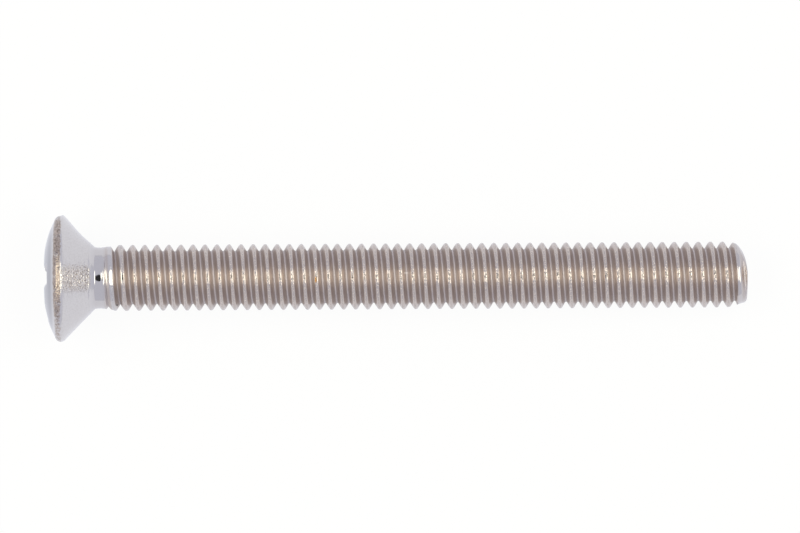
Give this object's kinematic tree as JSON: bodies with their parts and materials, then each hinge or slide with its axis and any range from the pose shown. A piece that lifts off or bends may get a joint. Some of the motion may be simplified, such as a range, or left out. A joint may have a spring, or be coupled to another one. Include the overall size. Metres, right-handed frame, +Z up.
{
  "type": "machine screw",
  "caption": "Plated machine screw with a raised countersunk head, a cross recess and a fine right-hand thread, lying on its side.",
  "frame": {"origin": "on the surface that the screw lies on, under the middle of its box", "axes": "+X runs along the screw from the head to the tip, +Z up; the axis of the screw slopes 2.53 degrees down towards the tip, because the screw rests on the rim of its head and on the last full crest of its thread"},
  "size_m": [0.041, 0.0074, 0.0073],
  "materials": {
    "nickel_plate": "bright nickel plating on steel, slightly worn and pitted at the rim of the head"
  },
  "bodies": {
    "root": {"screw": "nickel_plate"}
  },
  "joints": []
}
